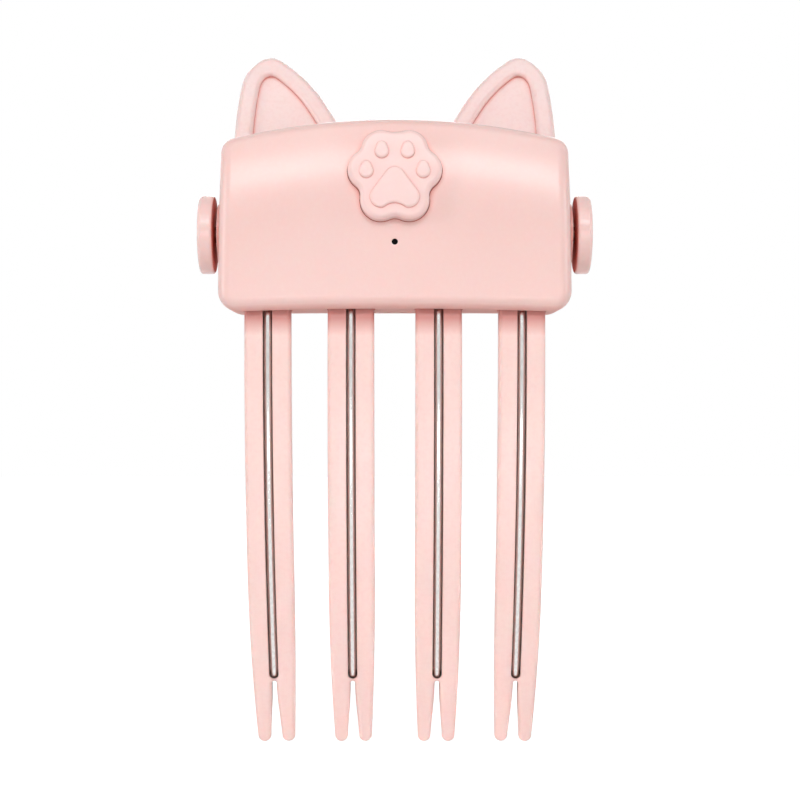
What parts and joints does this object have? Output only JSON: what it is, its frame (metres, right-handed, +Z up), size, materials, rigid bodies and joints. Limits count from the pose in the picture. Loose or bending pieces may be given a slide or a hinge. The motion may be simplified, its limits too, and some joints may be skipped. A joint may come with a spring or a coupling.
{
  "type": "heated hair clip",
  "caption": "Spring-loaded hair-root volumizing clip with cat ears, forked heated tines, a rear jaw and a paw-shaped push button.",
  "frame": {"origin": "level of the tine tips, straight below the hinge axis, in the middle of the width", "axes": "+Z up from the tine tips to the ears, -Y to the front with the paw button, +X to the right as seen from the front, along the hinge axis"},
  "size_m": [0.0732, 0.0385, 0.1332],
  "materials": {
    "shell_pink": "satin moulded plastic, pale pink",
    "button_pink": "satin moulded plastic, pale pink",
    "tine_pink": "heat-resistant satin plastic, pale pink",
    "silicone": "soft matt silicone",
    "rod_steel": "polished steel",
    "heater_core": "ceramic",
    "holder_dark": "heat-proof dark plastic",
    "flex_amber": "polyimide film",
    "board_green": "solder resist",
    "switch_black": "moulded black",
    "led_body": "clear resin",
    "light_pipe": "smoked clear plastic",
    "socket_metal": "stamped steel",
    "battery_foil": "foil pouch",
    "lead_red": "insulated wire",
    "screw_steel": "zinc-plated steel",
    "bushing_brass": "turned brass",
    "axle_steel": "ground steel",
    "spring_steel": "spring steel wire"
  },
  "bodies": {
    "housing": {"front_shell": "shell_pink", "back_cover": "shell_pink", "fork_comb": "tine_pink", "heating_rod_1": "rod_steel", "heating_rod_2": "rod_steel", "heating_rod_3": "rod_steel", "heating_rod_4": "rod_steel", "heater_cores": "heater_core", "rod_holder": "holder_dark", "heater_flex": "flex_amber", "control_board": "board_green", "switch_board": "board_green", "tact_switch": "switch_black", "indicator_led": "led_body", "light_pipe": "light_pipe", "usb_socket": "socket_metal", "battery_cell": "battery_foil", "battery_leads": "lead_red", "housing_screws": "screw_steel", "hinge_bushing_left": "bushing_brass", "hinge_bushing_right": "bushing_brass", "torsion_spring_left": "spring_steel", "torsion_spring_right": "spring_steel"},
    "button": {"paw_button": "button_pink", "switch_plunger": "switch_black"},
    "clamp": {"rear_lever": "shell_pink", "press_comb": "tine_pink", "clamp_screws": "screw_steel", "press_pad_1": "silicone", "press_pad_2": "silicone", "press_pad_3": "silicone", "press_pad_4": "silicone", "hinge_axle_left": "axle_steel", "hinge_axle_right": "axle_steel", "hinge_knob_left": "shell_pink", "hinge_knob_right": "shell_pink"}
  },
  "joints": [
    {"name": "clamp_hinge", "type": "hinge", "parent": "housing", "child": "clamp", "pos_m": [0, 0, 0.0956], "axis": [1, 0, 0], "range_deg": [0, 20], "stiffness_Nm_per_rad": 0.4, "springref_deg": -28.65, "deforming": ["torsion_spring_left", "torsion_spring_right"]},
    {"name": "paw_press", "type": "slide", "parent": "housing", "child": "button", "axis": [0, 0.9861, -0.166], "range_m": [0, 0.0005], "stiffness_N_per_m": 2000, "springref_m": -0.0005}
  ]
}
